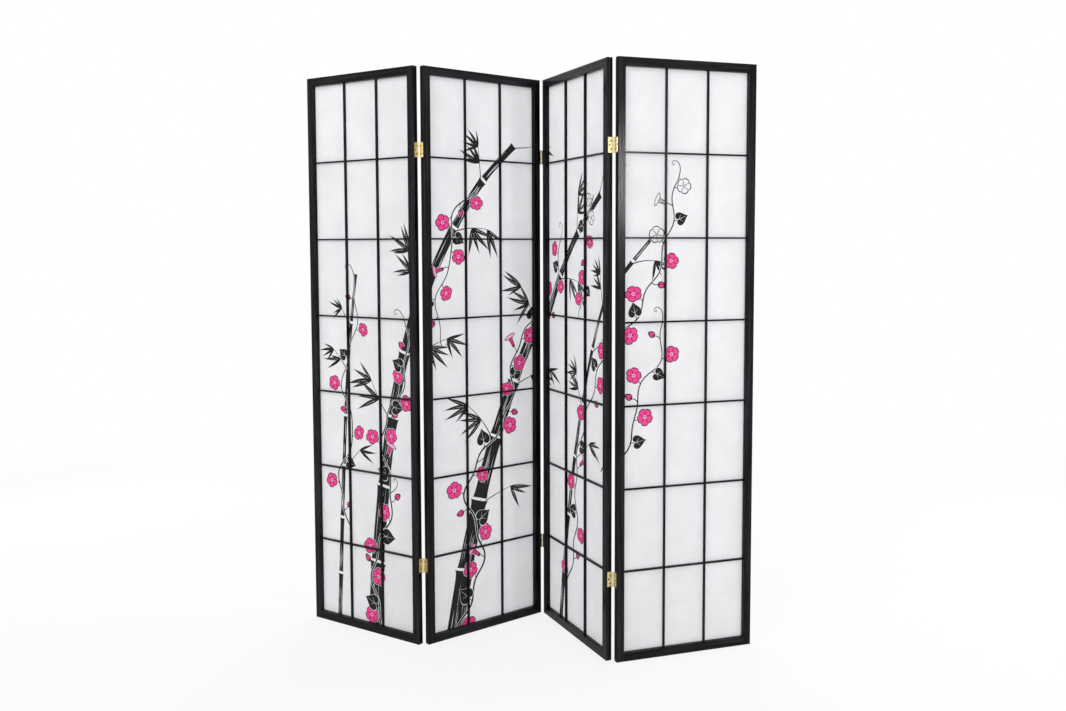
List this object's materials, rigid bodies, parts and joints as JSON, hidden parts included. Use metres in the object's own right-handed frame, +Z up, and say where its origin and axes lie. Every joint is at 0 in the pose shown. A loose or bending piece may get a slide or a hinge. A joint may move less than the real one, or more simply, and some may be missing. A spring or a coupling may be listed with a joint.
{
  "type": "folding screen",
  "caption": "Free-standing zigzag folding screen with dark wooden frames, a slim lattice over translucent paper, and brass butt hinges between the panels.",
  "frame": {"origin": "middle of the standing screen's footprint, on the floor", "axes": "+Z up; +X to the viewer's right along the zigzag; +Y from the printed front toward the back"},
  "size_m": [1.4038, 0.4374, 1.778],
  "materials": {
    "black_wood": "satin black paint over softwood",
    "shoji_paper": "matt translucent fibre paper with a printed design",
    "dowel_wood": "plain hardwood",
    "hinge_brass": "polished brass plate",
    "pin_brass": "polished brass",
    "screw_brass": "brass plated"
  },
  "bodies": {
    "panel_1": {"panel_1_stile_left": "black_wood", "panel_1_stile_right": "black_wood", "panel_1_rail_top": "black_wood", "panel_1_rail_bottom": "black_wood", "panel_1_lattice_uprights": "black_wood", "panel_1_lattice_levels": "black_wood", "panel_1_paper": "shoji_paper", "panel_1_beads": "black_wood", "panel_1_dowels": "dowel_wood", "panel_1_hinge_screws": "screw_brass", "hinge_1_2_upper_leaf_left": "hinge_brass", "hinge_1_2_upper_pin": "pin_brass", "hinge_1_2_lower_leaf_left": "hinge_brass", "hinge_1_2_lower_pin": "pin_brass"},
    "panel_2": {"panel_2_stile_left": "black_wood", "panel_2_stile_right": "black_wood", "panel_2_rail_top": "black_wood", "panel_2_rail_bottom": "black_wood", "panel_2_lattice_uprights": "black_wood", "panel_2_lattice_levels": "black_wood", "panel_2_paper": "shoji_paper", "panel_2_beads": "black_wood", "panel_2_dowels": "dowel_wood", "panel_2_hinge_screws": "screw_brass", "hinge_1_2_upper_leaf_right": "hinge_brass", "hinge_1_2_lower_leaf_right": "hinge_brass", "hinge_2_3_upper_leaf_left": "hinge_brass", "hinge_2_3_upper_pin": "pin_brass", "hinge_2_3_lower_leaf_left": "hinge_brass", "hinge_2_3_lower_pin": "pin_brass"},
    "panel_3": {"panel_3_stile_left": "black_wood", "panel_3_stile_right": "black_wood", "panel_3_rail_top": "black_wood", "panel_3_rail_bottom": "black_wood", "panel_3_lattice_uprights": "black_wood", "panel_3_lattice_levels": "black_wood", "panel_3_paper": "shoji_paper", "panel_3_beads": "black_wood", "panel_3_dowels": "dowel_wood", "panel_3_hinge_screws": "screw_brass", "hinge_2_3_upper_leaf_right": "hinge_brass", "hinge_2_3_lower_leaf_right": "hinge_brass", "hinge_3_4_upper_leaf_left": "hinge_brass", "hinge_3_4_upper_pin": "pin_brass", "hinge_3_4_lower_leaf_left": "hinge_brass", "hinge_3_4_lower_pin": "pin_brass"},
    "panel_4": {"panel_4_stile_left": "black_wood", "panel_4_stile_right": "black_wood", "panel_4_rail_top": "black_wood", "panel_4_rail_bottom": "black_wood", "panel_4_lattice_uprights": "black_wood", "panel_4_lattice_levels": "black_wood", "panel_4_paper": "shoji_paper", "panel_4_beads": "black_wood", "panel_4_dowels": "dowel_wood", "panel_4_hinge_screws": "screw_brass", "hinge_3_4_upper_leaf_right": "hinge_brass", "hinge_3_4_lower_leaf_right": "hinge_brass"}
  },
  "joints": [
    {"name": "fold_1_2", "type": "hinge", "parent": "panel_1", "child": "panel_2", "pos_m": [-0.31336, -0.064, 0.889], "axis": [0, 0, 1], "range_deg": [-72.5, 107.5]},
    {"name": "fold_2_3", "type": "hinge", "parent": "panel_2", "child": "panel_3", "pos_m": [0.05588, 0.20541, 0.889], "axis": [0, 0, -1], "range_deg": [-104.5, 75.5]},
    {"name": "fold_3_4", "type": "hinge", "parent": "panel_3", "child": "panel_4", "pos_m": [0.26612, -0.20045, 0.889], "axis": [0, 0, 1], "range_deg": [-84, 96]}
  ]
}
